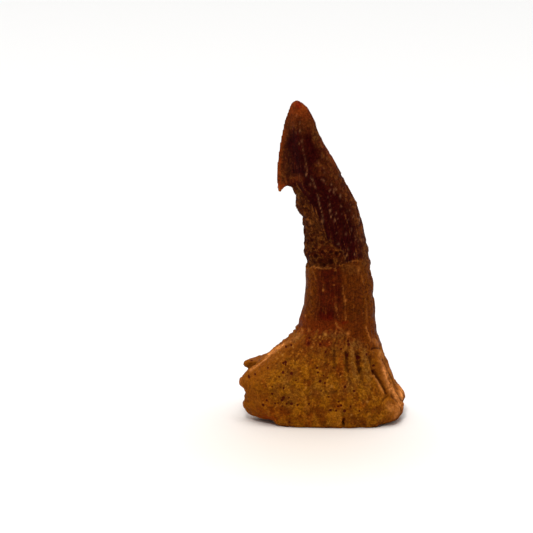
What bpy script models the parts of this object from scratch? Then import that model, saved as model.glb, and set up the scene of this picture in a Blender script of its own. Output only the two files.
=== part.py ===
"""A fossil sawfish rostral tooth, standing on its flared root.

The tooth grew as one piece, so it is one object. A loft of unlike sections makes the
hooked crown, the neck and the flared root. Cutters then open the notch under the barb,
the groove under the root and the clefts in its rim, and level the rim where it rests.

Units are millimetres until a mesh is made. +X is the tooth's leading edge, -X is the
barbed edge, +Y is the tooth's back face, +Z is up, and z = 0 is the resting plane.
"""

import bmesh
import bpy
import numpy as np
from mathutils import Vector

MM = 0.001

# ---- Driving dimensions, in millimetres ----
TOOTH_HEIGHT = 33.32
SEGMENTS = 74  # points round each section
CROWDING = 14.0  # how far, in degrees, the points are drawn together round the folded side
CROWDED_SIDE = 325.0

# Edges of the tooth seen from the front: (height, x).
BARBED_EDGE = [
    (33.32, -3.26), (33.22, -3.52), (33.0, -3.76), (32.4, -4.02), (31.7, -4.23), (31.1, -4.45),
    (30.5, -4.56), (29.6, -4.73), (28.6, -4.90), (27.4, -5.03), (26.2, -5.13), (25.2, -5.15),
    (24.6, -5.07), (24.1, -4.93), (23.80, -4.78), (23.62, -3.32), (23.0, -3.22), (22.3, -3.18),
    (21.8, -2.98), (21.2, -2.54), (20.5, -2.44), (19.3, -2.34), (18.0, -2.33), (17.3, -2.26),
    (16.6, -1.99), (15.8, -2.03), (14.2, -1.99), (13.2, -2.05), (12.2, -2.11), (11.5, -2.25),
    (10.9, -2.44), (10.2, -2.45), (9.6, -2.60),
]
LEADING_EDGE = [
    (33.32, -3.26), (33.22, -2.94), (33.0, -2.60), (32.4, -1.96), (31.8, -1.67), (31.2, -1.34),
    (30.5, -1.10), (29.9, -0.86), (28.7, -0.26), (27.5, 0.53), (26.2, 1.24), (25.0, 1.90),
    (23.8, 2.55), (23.1, 2.96), (22.7, 3.12), (21.9, 3.36), (20.6, 3.77), (19.4, 4.01),
    (18.7, 4.22), (17.8, 4.46), (17.1, 4.51), (16.5, 4.71), (15.6, 4.73), (14.9, 4.86),
    (14.2, 5.10), (13.3, 5.04), (12.3, 5.23), (11.0, 5.32), (9.8, 5.43),
]
# The cap's thick body ends here, and a thin blade reaches on to the barbed edge: (height, x).
BLADE_ROOT = [
    (33.32, -3.26), (33.0, -3.60), (32.4, -3.72), (31.0, -3.80), (29.0, -3.78), (27.0, -3.62),
    (25.0, -3.42), (23.8, -3.34),
]
BLADE_TURN = 46.0  # the blade takes this many degrees of the section, on each face
SIDE_BLEND = 0.35  # the front and back lips run into each other over this share of the section
# The flared root has a front and a back lip, and each ends in lobes of its own.
FRONT_LIP_BARBED_END = [
    (9.2, -2.84), (8.7, -3.32), (8.2, -3.86), (7.7, -4.44), (7.2, -5.02), (6.7, -5.62),
    (6.3, -6.10), (5.9, -6.58), (5.5, -7.12), (5.1, -7.68), (4.8, -8.16), (4.5, -8.64),
    (4.2, -8.96), (3.95, -8.98), (3.65, -8.72), (3.3, -8.38), (2.95, -8.28), (2.6, -8.30),
    (2.2, -8.20), (1.9, -8.36), (1.55, -8.46), (1.2, -8.46), (0.9, -8.42), (0.5, -8.36),
    (0.2, -8.26), (-0.1, -8.10), (-0.4, -7.75),
]
BACK_LIP_BARBED_END = [
    (9.2, -2.84), (8.7, -3.28), (8.2, -3.82), (7.6, -4.48), (7.0, -5.12), (6.4, -5.74),
    (6.0, -6.14), (5.75, -6.40), (5.55, -6.72), (5.38, -7.22), (5.24, -7.75), (5.10, -8.24),
    (4.96, -8.46), (4.84, -8.42), (4.70, -8.10), (4.56, -7.70), (4.40, -7.35), (4.2, -7.10),
    (3.85, -7.00), (3.4, -6.95), (2.9, -7.20), (2.3, -7.65), (1.8, -7.85), (1.2, -7.85),
    (0.7, -7.70), (0.3, -7.45), (-0.1, -7.00), (-0.4, -6.40),
]
FRONT_LIP_LEADING_END = [
    (9.1, 5.50), (8.2, 5.80), (7.5, 6.00), (6.9, 6.16), (6.0, 6.46), (5.0, 6.82),
    (4.0, 7.20), (3.2, 7.52), (2.6, 7.80), (2.0, 8.12), (1.5, 8.36), (1.1, 8.40),
    (0.75, 8.28), (0.4, 8.02), (0.1, 7.74), (-0.15, 7.44), (-0.4, 7.00),
]
BACK_LIP_LEADING_END = [
    (9.1, 5.50), (8.3, 5.86), (7.6, 6.04), (7.1, 6.12), (6.7, 6.26), (6.3, 6.44),
    (5.8, 6.72), (5.25, 7.00), (4.7, 7.26), (4.15, 7.50), (3.6, 7.70), (3.2, 7.86),
    (2.9, 8.12), (2.6, 8.46), (2.2, 8.76), (1.8, 8.88), (1.45, 8.80), (1.15, 8.60),
    (0.9, 8.64), (0.6, 8.72), (0.3, 8.60), (0.05, 8.24), (-0.4, 7.40),
]
# Half the thickness from the middle plane to either face: (height, y).
HALF_THICKNESS = [
    (33.32, 0.0), (33.22, 0.26), (33.0, 0.46), (32.4, 0.68), (31.5, 0.90), (30.5, 1.10),
    (29.0, 1.36), (27.0, 1.60), (25.0, 1.76), (23.0, 1.90), (20.0, 2.06), (17.3, 2.16),
    (16.4, 2.22), (14.0, 2.28), (11.5, 2.36), (10.0, 2.52), (9.0, 2.84), (8.0, 3.26),
    (7.0, 3.66), (6.0, 3.98), (5.0, 4.22), (4.0, 4.40), (3.0, 4.54), (2.0, 4.64),
    (1.2, 4.68), (0.6, 4.66), (0.2, 4.58), (-0.1, 4.36), (-0.4, 3.90),
]
# The line where the crown is thickest, seen from the front: (height, x).
KEEL_LINE = [
    (33.32, -3.26), (30.7, -2.95), (28.4, -2.40), (26.6, -1.90), (25.0, -1.45), (23.0, -0.75),
    (21.0, 0.00), (18.0, 0.90), (15.0, 1.35), (12.0, 1.50), (10.0, 1.45), (8.0, 1.00),
    (6.0, 0.40), (4.0, 0.10), (0.0, 0.00),
]
# How the section closes at each edge: 1 is an ellipse's end, more is keener, less is squarer.
BARBED_KEENNESS = [
    (33.32, 1.0), (32.0, 1.10), (28.0, 1.25), (24.0, 1.25), (21.0, 1.12), (17.0, 1.02),
    (10.0, 1.0), (8.0, 0.92), (6.5, 0.78), (5.0, 0.58), (3.0, 0.55), (1.5, 0.62), (0.0, 0.74),
]
LEADING_KEENNESS = [
    (33.32, 1.0), (31.0, 1.15), (26.0, 1.22), (17.0, 1.12), (10.0, 1.0), (7.0, 0.84),
    (3.0, 0.62), (0.0, 0.58),
]
BARBED_SQUARENESS = [
    (33.32, 1.0), (10.0, 1.0), (8.0, 0.92), (6.5, 0.74), (5.0, 0.56), (3.0, 0.55), (1.5, 0.62),
    (0.0, 0.74),
]
LEADING_SQUARENESS = [(33.32, 1.0), (10.0, 1.0), (7.0, 0.84), (3.0, 0.62), (0.0, 0.58)]

SECTION_HEIGHTS = [
    -0.40, -0.14, 0.08, 0.34, 0.68, 1.02, 1.36, 1.72, 2.10, 2.50, 2.90, 3.30, 3.65, 3.95,
    4.20, 4.40, 4.56, 4.72, 4.88, 5.04, 5.22, 5.45, 5.80, 6.25, 6.75, 7.30, 7.85, 8.40, 9.00,
    9.80, 10.8, 12.0, 13.2, 14.3, 15.4, 16.3, 16.56, 16.72, 17.1, 17.6, 18.1, 18.8, 19.6,
    20.4, 21.1, 21.7, 22.3, 23.0, 23.6, 23.82, 24.3, 25.2, 26.4, 27.7, 28.9, 30.1, 31.1,
    31.9, 32.6, 33.0, 33.22,
]

# Folds that fan down the root, each a line from its top to its bottom:
# (top height, top direction, bottom height, bottom direction, depth, half-width).
# Directions and half-widths are in degrees: 270 faces the front, 0 leads, 90 faces the back.
# A negative depth is a ridge.
ROOT_FOLDS = [
    (8.6, 271.0, 6.4, 273.0, 0.16, 4.0), (8.2, 284.0, 5.2, 287.0, 0.24, 4.0),
    (8.0, 298.0, 5.0, 300.0, 0.28, 4.0), (7.4, 310.0, 4.4, 311.0, -0.14, 5.0),
    (7.0, 320.0, 3.4, 322.0, 0.46, 4.5), (7.4, 336.0, 1.8, 349.0, -0.24, 5.0),
    (6.6, 353.0, 2.7, 356.0, 0.36, 4.5), (3.2, 334.0, 1.2, 332.0, -0.14, 8.0),
    (7.0, 244.0, 3.0, 240.0, 0.12, 6.0), (6.0, 218.0, 1.6, 214.0, 0.16, 6.0),
    (7.0, 22.0, 1.6, 20.0, 0.34, 6.0), (7.6, 40.0, 2.2, 38.0, 0.42, 6.0),
    (7.8, 56.0, 2.8, 54.0, 0.36, 6.0), (8.2, 72.0, 3.6, 70.0, 0.32, 6.0),
    (8.2, 90.0, 4.4, 90.0, 0.24, 6.0), (7.8, 110.0, 3.6, 112.0, 0.28, 6.0),
    (7.4, 131.0, 2.6, 133.0, 0.34, 6.0),
]
FOLD_START = 0.3  # a fold begins this far above its top, and is at its full depth
FOLD_GROWTH = 1.3  # this far below it
FOLD_TAIL = 0.9  # a fold dies away over this much either side of its bottom
# Lumps and hollows of the root: (direction, height, depth, half-width in degrees, half-height).
ROOT_LUMPS = [
    (252.0, 3.4, -0.12, 9.0, 1.3), (281.0, 1.5, -0.10, 6.0, 0.9), (297.0, 1.0, -0.12, 6.0, 0.8),
    (288.5, 0.3, 0.10, 2.5, 0.7), (231.0, 1.5, -0.12, 6.0, 0.9), (318.0, 1.5, -0.14, 7.0, 0.9),
    (264.0, 1.6, 0.08, 7.0, 1.0), (52.0, 1.6, -0.20, 8.0, 0.9), (70.0, 1.2, 0.14, 5.0, 0.8),
    (88.0, 1.8, -0.22, 8.0, 1.1), (108.0, 1.3, 0.12, 6.0, 0.8), (126.0, 1.6, -0.20, 8.0, 0.9),
    (97.0, 4.6, 0.16, 8.0, 1.0), (146.0, 2.6, 0.18, 6.0, 1.1), (30.0, 1.4, -0.16, 7.0, 0.8),
]
# Where the rim is raised off the floor: (direction, height, half-width in degrees).
RIM_LIFTS = [
    (207.0, 0.74, 33.0), (286.5, 0.10, 3.0), (324.0, 0.30, 16.0), (14.0, 0.46, 14.0),
    (60.0, 0.40, 8.0), (104.0, 0.45, 12.0), (156.0, 0.76, 16.0),
]
RIM_TOP = 2.2  # the lifts fade out up to this height
RIM_FOOT = 0.2
LIFT_SOFTNESS = 5.0  # degrees over which a lift comes and goes

# The enamel has chipped off the front of the barbed edge, down to a ledge.
CHIP_LINE = [  # the enamel's broken edge: (height, x)
    (24.6, -3.16), (23.9, -2.34), (23.2, -1.93), (22.6, -1.51), (21.6, -0.99), (20.1, -0.25),
    (19.35, 0.07), (18.8, 0.70), (18.1, 1.72), (17.5, 1.84), (16.9, 2.05),
]
CHIP_TOP = 23.7
CHIP_TOP_FADE = 1.2
CHIP_DEPTH = 0.26
CHIP_EDGE_SLOPE = 0.30
BACK_CHIP_WIDTH = 1.1  # on the back face the chip is a strip along the edge
DEEPEST_SHARE = 0.5  # no recess takes more of the thickness than this
# The ledge under the chip goes on round the leading side, shallower: (x, height).
LEDGE_LINE = [
    (-1.93, 16.06), (0.03, 16.42), (1.74, 16.86), (2.66, 17.17), (3.29, 17.12), (3.92, 16.88),
]
LEDGE_HEIGHT = 16.6  # the section that is bent to follow the ledge
LEDGE_FOOT = 16.57
LEDGE_HEAD = 16.71
LEDGE_BEND = 1.5  # the sections this far above and below are bent half as much
LEADING_LEDGE_DEPTH = 0.10
LEADING_LEDGE_FADE = 4.0
# Hollows in the chipped face: (x, height, depth, radius).
CHIP_HOLLOWS = [
    (-1.40, 17.35, 0.28, 0.36), (-0.45, 16.95, 0.30, 0.36), (0.55, 17.30, 0.26, 0.36),
    (1.30, 17.75, 0.20, 0.30), (-1.50, 20.1, 0.14, 0.48),
]

# The notch under the barb, seen from the front: (x, height).
NOTCH_OUTLINE = [
    (-5.60, 23.30), (-4.88, 23.72), (-4.74, 23.86), (-4.56, 24.14), (-4.34, 24.36),
    (-4.12, 24.50), (-3.90, 24.54), (-3.68, 24.48), (-3.50, 24.30), (-3.40, 24.02),
    (-3.34, 23.70), (-3.28, 23.30), (-3.60, 22.90),
]
NOTCH_REACH = 4.0  # the cutter runs this far in front of the middle plane and behind it

# The groove under the root, from end to end: (x, crown height, half-width, sideways shift).
BASAL_GROOVE = [
    (-10.0, 7.9, 1.65, 0.00), (-8.4, 7.2, 1.60, 0.00), (-7.6, 6.5, 1.50, 0.02),
    (-6.6, 5.6, 1.32, 0.10), (-5.6, 5.0, 1.22, 0.16), (-4.4, 5.2, 1.36, 0.08),
    (-3.0, 4.8, 1.20, -0.10), (-1.5, 5.0, 1.38, -0.14), (0.1, 4.7, 1.26, 0.02),
    (1.6, 4.8, 1.34, 0.12), (3.1, 4.3, 1.18, 0.06), (4.4, 4.1, 1.24, -0.06),
    (5.5, 3.5, 1.06, -0.10), (6.6, 3.1, 0.98, 0.00), (7.6, 2.5, 0.85, 0.04), (10.0, 2.1, 0.70, 0.04),
]
GROOVE_FLARE = 0.30  # the groove's mouth is wider than its middle by this on each side
GROOVE_FLARE_TOP = 1.6
GROOVE_SINK = 0.3  # the arch starts this far under the floor
GROOVE_FOOT = -1.0
GROOVE_CORE = 1.0  # height of the cutter's own middle line
GROOVE_SIDES = 16
ARCH_SQUARENESS = 0.8  # 1 is half an ellipse, less is squarer

# Clefts in the front rim: (x, width, height, depth).
RIM_CLEFTS = [(2.05, 0.40, 1.15, 1.1), (3.72, 0.45, 0.34, 0.8)]
CLEFT_OVERRUN = 0.5  # the cutters start this far in front of the root
CLEFT_FOOT = -0.6
CLEFT_LEAN = 0.06  # the point of a cleft leans this far towards the leading edge
FLOOR_CUT_WIDTH = 30.0
FLOOR_CUT_DEPTH = 3.0

DENTINE_COLOUR = (0.22, 0.08, 0.022, 1.0)
DENTINE_ROUGHNESS = 0.5
SHARP_EDGE = 50.0  # faces that meet at more than this many degrees meet in an edge
TINY = 1e-6  # keeps a division from failing where the tooth comes to its point


def smooth_through(table):
    """A smooth function through a table of (place, value), with no overshoot between its rows."""
    rows = sorted(table)
    at = np.array([row[0] for row in rows])
    value = np.array([row[1] for row in rows])
    slope = np.diff(value) / np.diff(at)
    tangent = np.zeros_like(value)
    tangent[0], tangent[-1] = slope[0], slope[-1]
    same_way = slope[:-1] * slope[1:] > 0
    total = np.where(same_way, slope[:-1] + slope[1:], 1.0)
    tangent[1:-1] = np.where(same_way, 2.0 * slope[:-1] * slope[1:] / total, 0.0)

    def curve(x):
        x = np.clip(x, at[0], at[-1])
        i = np.clip(np.searchsorted(at, x) - 1, 0, len(at) - 2)
        width = at[i + 1] - at[i]
        t = (x - at[i]) / width
        return (
            value[i] * (1 + 2 * t) * (1 - t) ** 2
            + tangent[i] * width * t * (1 - t) ** 2
            + value[i + 1] * t * t * (3 - 2 * t)
            - tangent[i + 1] * width * t * t * (1 - t)
        )

    return curve


def ramp(x, low, high):
    """0 below low, 1 above high, and smooth in between. It falls instead if high is the lower."""
    t = np.clip((x - low) / (high - low), 0.0, 1.0)
    return t * t * (3 - 2 * t)


def bump(distance, half_width):
    """1 at no distance, half at the half-width, falling smoothly to nothing."""
    return np.exp(-((distance / half_width) ** 2) * np.log(2.0))


def turn_between(a, b):
    """The angle between two directions in degrees, from 0 to 180."""
    return np.abs((a - b + 180.0) % 360.0 - 180.0)


barbed_front = smooth_through(BARBED_EDGE + FRONT_LIP_BARBED_END)
barbed_back = smooth_through(BARBED_EDGE + BACK_LIP_BARBED_END)
leading_front = smooth_through(LEADING_EDGE + FRONT_LIP_LEADING_END)
leading_back = smooth_through(LEADING_EDGE + BACK_LIP_LEADING_END)
blade_root = smooth_through(BLADE_ROOT)
half_thickness = smooth_through(HALF_THICKNESS)
keel_line = smooth_through(KEEL_LINE)
barbed_keenness = smooth_through(BARBED_KEENNESS)
leading_keenness = smooth_through(LEADING_KEENNESS)
barbed_squareness = smooth_through(BARBED_SQUARENESS)
leading_squareness = smooth_through(LEADING_SQUARENESS)
chip_line = smooth_through(CHIP_LINE)
ledge_line = smooth_through(LEDGE_LINE)


def root_relief(angle, height):
    """How far the root's folds, lumps and hollows draw its surface in."""
    depth = 0.0
    for direction, middle, deep, half_width, half_height in ROOT_LUMPS:
        near = bump(turn_between(angle, direction), half_width)
        depth = depth + deep * near * bump(height - middle, half_height)
    for top, top_turn, bottom, bottom_turn, deep, half_width in ROOT_FOLDS:
        down = (top - height) / (top - bottom)
        direction = top_turn + (bottom_turn - top_turn) * down
        reach = ramp(height, top + FOLD_START, top - FOLD_GROWTH)
        reach = reach * ramp(height, bottom - FOLD_TAIL, bottom + FOLD_TAIL)
        depth = depth + deep * reach * bump(turn_between(angle, direction), half_width)
    return depth


def face_recess(x, height, front):
    """How far the front or back face is set back by chipped enamel, the ledge and hollows."""
    above_ledge = ramp(height, LEDGE_FOOT, LEDGE_HEAD)
    below_notch = ramp(height, CHIP_TOP, CHIP_TOP - CHIP_TOP_FADE)
    edge = np.where(front, chip_line(height), barbed_front(height) + BACK_CHIP_WIDTH)
    chipped = above_ledge * below_notch * ramp(x, edge, edge - CHIP_EDGE_SLOPE)
    low_down = ramp(height, LEDGE_HEIGHT + LEADING_LEDGE_FADE, LEDGE_HEIGHT)
    recess = CHIP_DEPTH * chipped + LEADING_LEDGE_DEPTH * above_ledge * low_down * (1 - chipped)
    for pit_x, pit_height, deep, radius in CHIP_HOLLOWS:
        away = np.hypot(x - pit_x, height - pit_height)
        recess = recess + np.where(front, deep * chipped * bump(away, radius), 0.0)
    return recess


def ledge_bend(x, height):
    """How far a section is raised at x, so that the ones by the ledge follow its slope."""
    return (ledge_line(x) - LEDGE_HEIGHT) * bump(height - LEDGE_HEIGHT, LEDGE_BEND)


def rim_lift(angle, height):
    """How far the rim is raised off the floor in this direction."""
    lift = 0.0
    for direction, raised, half_width in RIM_LIFTS:
        away = turn_between(angle, direction) - half_width
        lift = np.maximum(lift, raised * ramp(away, LIFT_SOFTNESS, -LIFT_SOFTNESS))
    return lift * ramp(height, RIM_TOP, RIM_FOOT)


def blade_reach(angle):
    """1 at the barbed edge, falling to 0 where the blade meets the cap's thick body."""
    t = np.clip(1 - turn_between(angle, 180.0) / BLADE_TURN, 0.0, 1.0)
    return t * t * (3 - t) / 2


def section(height):
    """The points of the section at this height, turning from the leading edge by the back."""
    even = np.arange(SEGMENTS) * 360.0 / SEGMENTS
    angle = even - CROWDING * np.sin(np.radians(even - CROWDED_SIDE))
    for edge in (0.0, 180.0):
        angle[np.argmin(turn_between(angle, edge))] = edge
    cos, sin = np.cos(np.radians(angle)), np.sin(np.radians(angle))
    back = ramp(sin, -SIDE_BLEND, SIDE_BLEND)
    low_height = height + ledge_bend(barbed_front(height), height)
    high_height = height + ledge_bend(leading_front(height), height)
    low = barbed_front(low_height) * (1 - back) + barbed_back(low_height) * back
    high = leading_front(high_height) * (1 - back) + leading_back(high_height) * back
    body_low = np.maximum(low, blade_root(height)) if height > BLADE_ROOT[-1][0] else low
    keel = keel_line(height)
    barbed_side = cos < 0
    keenness = np.where(barbed_side, barbed_keenness(height), leading_keenness(height))
    square = np.where(barbed_side, barbed_squareness(height), leading_squareness(height))
    reach = np.where(barbed_side, keel - body_low, high - keel)
    x = keel + reach * np.sign(cos) * np.abs(cos) ** square
    x = x - (body_low - low) * blade_reach(angle)
    y = half_thickness(height) * np.sign(sin) * np.abs(sin) ** keenness
    thick = np.maximum(np.abs(y), TINY)
    y = y * (1 - np.minimum(face_recess(x, height, sin < 0) / thick, DEEPEST_SHARE))
    drawn_in = 1 - root_relief(angle, height) / np.maximum(np.hypot(x, y), TINY)
    z = height + rim_lift(angle, height) + ledge_bend(x, height)
    return np.stack([x * drawn_in, y * drawn_in, z], axis=1)


def mesh_object(name, points, faces, collection):
    mesh = bpy.data.meshes.new(name)
    mesh.from_pydata([Vector(p) * MM for p in points], [], faces)
    mesh.update()
    obj = bpy.data.objects.new(name, mesh)
    collection.objects.link(obj)
    return obj


def loft(name, rings, start, end, collection):
    """A closed solid through rings of equal length, each run anticlockwise seen from its end."""
    count = len(rings[0])
    points = [p for ring in rings for p in ring] + [start, end]
    first, last = len(points) - 2, len(points) - 1
    faces = []
    for r in range(len(rings) - 1):
        for i in range(count):
            j = (i + 1) % count
            low, high = r * count, (r + 1) * count
            faces.append((low + i, low + j, high + j, high + i))
    top = (len(rings) - 1) * count
    for i in range(count):
        j = (i + 1) % count
        faces.append((first, j, i))
        faces.append((last, top + i, top + j))
    return mesh_object(name, points, faces, collection)


def make_body(collection):
    rings = [section(height) for height in SECTION_HEIGHTS]
    under = (0.0, 0.0, SECTION_HEIGHTS[0])
    tip = (LEADING_EDGE[0][1], 0.0, TOOTH_HEIGHT)
    return loft("rostral_tooth", rings, under, tip, collection)


def make_groove_cutter(collection):
    """An arch-shaped bar along X, wider at its mouth, from under the floor to the groove's roof."""
    rings = []
    for x, crown, half_width, shift in BASAL_GROOVE:
        turn = np.linspace(0.0, np.pi, GROOVE_SIDES)
        y = half_width * np.cos(turn)
        z = crown * np.sin(turn) ** ARCH_SQUARENESS - GROOVE_SINK
        mouth = GROOVE_FLARE * np.sign(np.cos(turn)) * ramp(z, GROOVE_FLARE_TOP, 0.0)
        arch = [(x, v + m + shift, w) for v, m, w in zip(y, mouth, z)]
        wide = half_width + GROOVE_FLARE
        rings.append(arch + [(x, shift - wide, GROOVE_FOOT), (x, shift + wide, GROOVE_FOOT)])
    start = (BASAL_GROOVE[0][0], 0.0, GROOVE_CORE)
    end = (BASAL_GROOVE[-1][0], 0.0, GROOVE_CORE)
    return loft("basal_groove_cutter", rings, start, end, collection)


def make_notch_cutter(collection):
    """The notch's outline carried right through the blade from front to back."""
    rings = [[(x, y, z) for x, z in NOTCH_OUTLINE] for y in (NOTCH_REACH, -NOTCH_REACH)]
    middle_x = sum(x for x, z in NOTCH_OUTLINE) / len(NOTCH_OUTLINE)
    middle_z = sum(z for x, z in NOTCH_OUTLINE) / len(NOTCH_OUTLINE)
    start = (middle_x, NOTCH_REACH, middle_z)
    end = (middle_x, -NOTCH_REACH, middle_z)
    return loft("notch_cutter", rings, start, end, collection)


def make_cleft_cutter(x, width, height, depth, collection):
    """A wedge into the front rim, its point upwards."""
    root_front = -max(row[1] for row in HALF_THICKNESS)
    front = root_front - CLEFT_OVERRUN
    back = root_front + depth
    outline = [
        (x - width / 2, CLEFT_FOOT), (x + width / 2, CLEFT_FOOT), (x + CLEFT_LEAN, height),
    ]
    rings = [[(px, y, pz) for px, pz in outline] for y in (back, front)]
    return loft("rim_cleft_cutter", rings, (x, back, 0.0), (x, front, 0.0), collection)


def make_floor_cutter(collection):
    """A slab whose top is the resting plane."""
    bpy.ops.mesh.primitive_cube_add(size=1.0)
    cutter = bpy.context.object
    cutter.name = "floor_cutter"
    cutter.scale = (FLOOR_CUT_WIDTH * MM, FLOOR_CUT_WIDTH * MM, FLOOR_CUT_DEPTH * MM)
    cutter.location = (0.0, 0.0, -FLOOR_CUT_DEPTH / 2 * MM)
    for owner in list(cutter.users_collection):
        owner.objects.unlink(cutter)
    collection.objects.link(cutter)
    return cutter


def cut(obj, cutter):
    turn_faces_out(cutter)
    cutter.hide_render = True
    cutter.display_type = "WIRE"
    modifier = obj.modifiers.new(cutter.name, "BOOLEAN")
    modifier.operation = "DIFFERENCE"
    modifier.solver = "EXACT"
    modifier.object = cutter


def dentine():
    material = bpy.data.materials.new("fossil_dentine")
    material.use_nodes = True
    shader = material.node_tree.nodes["Principled BSDF"]
    shader.inputs["Base Color"].default_value = DENTINE_COLOUR
    shader.inputs["Roughness"].default_value = DENTINE_ROUGHNESS
    shader.inputs["Metallic"].default_value = 0.0
    return material


def turn_faces_out(obj):
    work = bmesh.new()
    work.from_mesh(obj.data)
    bmesh.ops.recalc_face_normals(work, faces=work.faces)
    work.to_mesh(obj.data)
    work.free()


def main():
    for obj in list(bpy.data.objects):
        bpy.data.objects.remove(obj)
    part = bpy.data.collections.new("rostral_tooth_part")
    cutters = bpy.data.collections.new("cutters")
    bpy.context.scene.collection.children.link(part)
    bpy.context.scene.collection.children.link(cutters)

    tooth = make_body(part)
    turn_faces_out(tooth)
    cut(tooth, make_floor_cutter(cutters))
    cut(tooth, make_groove_cutter(cutters))
    cut(tooth, make_notch_cutter(cutters))
    for x, width, height, depth in RIM_CLEFTS:
        cut(tooth, make_cleft_cutter(x, width, height, depth, cutters))
    tooth.data.materials.append(dentine())
    tooth.data.shade_smooth()
    tooth.data.set_sharp_from_angle(angle=np.radians(SHARP_EDGE))


main()
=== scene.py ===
"""Looks of the fossil sawfish rostral tooth: its weathered surface, its material, floor, light and camera.

The tooth's surface is worked in millimetres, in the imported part's frame: +X is the leading edge,
-X the barbed edge, +Y the back face, +Z up, and z = 0 is the floor. Scene objects are in metres.
"""

from math import cos, radians, sin

import bmesh
import bpy
import numpy as np
from mathutils import Matrix, Vector, noise
from mathutils.bvhtree import BVHTree


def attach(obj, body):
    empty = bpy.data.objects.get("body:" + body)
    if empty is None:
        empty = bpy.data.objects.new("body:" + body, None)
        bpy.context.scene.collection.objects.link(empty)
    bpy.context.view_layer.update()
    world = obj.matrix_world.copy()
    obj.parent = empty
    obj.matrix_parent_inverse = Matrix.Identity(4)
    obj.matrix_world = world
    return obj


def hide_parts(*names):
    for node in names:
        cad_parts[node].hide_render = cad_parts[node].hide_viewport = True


MM = 0.001
HEIGHT = 33.3
VOXEL = 0.118  # spacing of the surface's points
SEED = 20

# ---- The studio, in metres ----
ROOM_LIGHT = 0.15
STUDIO_LIGHT = 0.85
# Each lamp: (name, place, target, size, watts).
LAMPS = [
    ("overhead", (0.0, -0.2, 3.2), (0.0, 0.0, 0.0), 2.4, 53.0),
    ("key", (-0.06, -0.22, 0.34), (0.0, 0.0, 0.015), 0.09, 0.6),
]
FLOOR_REACH = 4.0
WARM_PLACE = (-0.002, -0.009, 0.0)  # the middle of the tooth's warm light on the paper
WARM_REACH = 0.025
# painted warm bounce light and painted shadow of the tooth on the paper
PAINTED_BOUNCE_AND_SHADOW = (0.82, 0.74, 0.665, 1.0)
WHITE_PAPER = (0.90, 0.895, 0.885, 1.0)
PAPER_ROUGHNESS = 0.9
PAPER_SHEEN = 0.1
NEAREST_SEEN = 0.01
CAMERA_PLACE = (-6.04, -200.25, 70.67)  # in millimetres, as the lens and the sensor are
CAMERA_LENS = 136.25
CAMERA_SENSOR = 36.0
CAMERA_PITCH = 15.29  # in degrees, as the roll is
CAMERA_ROLL = 0.794

# ---- Grain of the surface ----
# Noises: (size of a grain, octaves, shift).
GRAINS = {
    "fine": (0.24, 2, 7.0),
    "rough": (0.60, 4, 3.0),
    "broad": (2.2, 3, 11.0),
    "collar": (0.9, 3, 0.0),
    "nicks": (0.7, 2, 15.0),
    "sideways": (0.30, 2, 21.0),
    "upwards": (0.30, 2, 31.0),
}
# Noises drawn out along the tooth, and how places across, through and along it are scaled for them.
LONG_GRAINS = {
    "streaks": ((0.34, 0.5, 0.4), 2, 5.0),
    "hairs": ((0.17, 0.5, 0.35), 2, 9.0),
    "fan": ((0.46, 0.5, 0.6), 2, 17.0),
}
LONG_SCALE = (9.0, 0.8, 0.16)
# How high each noise stands in each zone.
GRAIN_HEIGHTS = {
    "chip": {"rough": 0.09, "fine": 0.06, "broad": 0.04},
    "shaft": {"streaks": 0.025, "hairs": 0.030, "fine": 0.015},
    "cap": {"streaks": 0.012, "hairs": 0.010, "rough": 0.018, "fine": 0.012},
    "neck": {"streaks": 0.030, "hairs": 0.018, "rough": 0.025, "broad": 0.020},
    "root": {"rough": 0.065, "fine": 0.040, "broad": 0.070, "streaks": 0.030},
}
CHIP_DEPTH = 0.06
NICK_DEPTH = 0.09
FAN_HEIGHT = 0.09
CRACK_HEIGHT = 0.03
HAIRLINE_HEIGHT = 0.02
FLECK_HEIGHT = 0.03
SEAM_HEIGHT = 0.05
LIP_HEIGHT = 0.03
WANDER = 0.10  # how far what is drawn on the face is pushed about
CREST_HEIGHT = 0.04  # a place this far above the evened surface counts as a full crest
DEEPEST_LOOK = 9.0  # the thickest that the tooth is taken to be
SLAB_STEP = 0.2  # from one slab to the next where the two edges are measured
SLAB_HALF = 0.15

# ---- Single sizes of what the tables below hold ----
BARB_TIP = (-4.85, 0.0, 24.1)
NOTCH = (24.7, 24.3)  # the broken band begins between these heights
ALL_ROOT = (8.2, 7.4)  # from the first height down to the second, neck turns to root everywhere
HAIRLINE_HALF_WIDTH = 0.05
CLEFT_HALF_WIDTH = 0.10
PORE_DEPTH = 0.6  # in radii
PORE_SLOPE = 2.4  # a pore's mask runs from 1 at its middle to 0 at this many radii
HIDDEN_PORES = 260
HIDDEN_PORE_RADII = (0.06, 0.13)
LONG_FLECKS_ABOVE = 16  # front flecks above this height are drawn out and fainter
HIDDEN_FLECKS = 90
SHAFT_FLECKS = 45
SMALL_FLECK_RADII = (0.04, 0.07)
SMALL_FLECK_STRENGTHS = (0.10, 0.32)
# How patches fade: (share of rough noise, share of fine noise, where they end, where they are full).
RED_FADE = (0.5, 0.2, 1.2, 0.5)
OLIVE_FADE = (0.6, 0.3, 1.3, 0.4)
BROWN_FADE = (0.4, 0.2, 1.2, 0.6)

# ---- Where the surface's marks lie, as (x, z) on the front face unless y is given ----
# Edge of the broken enamel, from the notch down to the ledge.
CHIP_EDGE = [
    (-3.20, 24.60), (-2.70, 24.20), (-2.34, 23.88), (-1.93, 23.20), (-1.51, 22.62), (-1.25, 22.11),
    (-0.99, 21.61), (-0.57, 20.79), (-0.25, 20.07), (0.07, 19.35), (0.69, 18.84), (1.20, 18.42),
    (1.72, 18.10), (1.84, 17.49), (2.05, 16.88),
]
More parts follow.
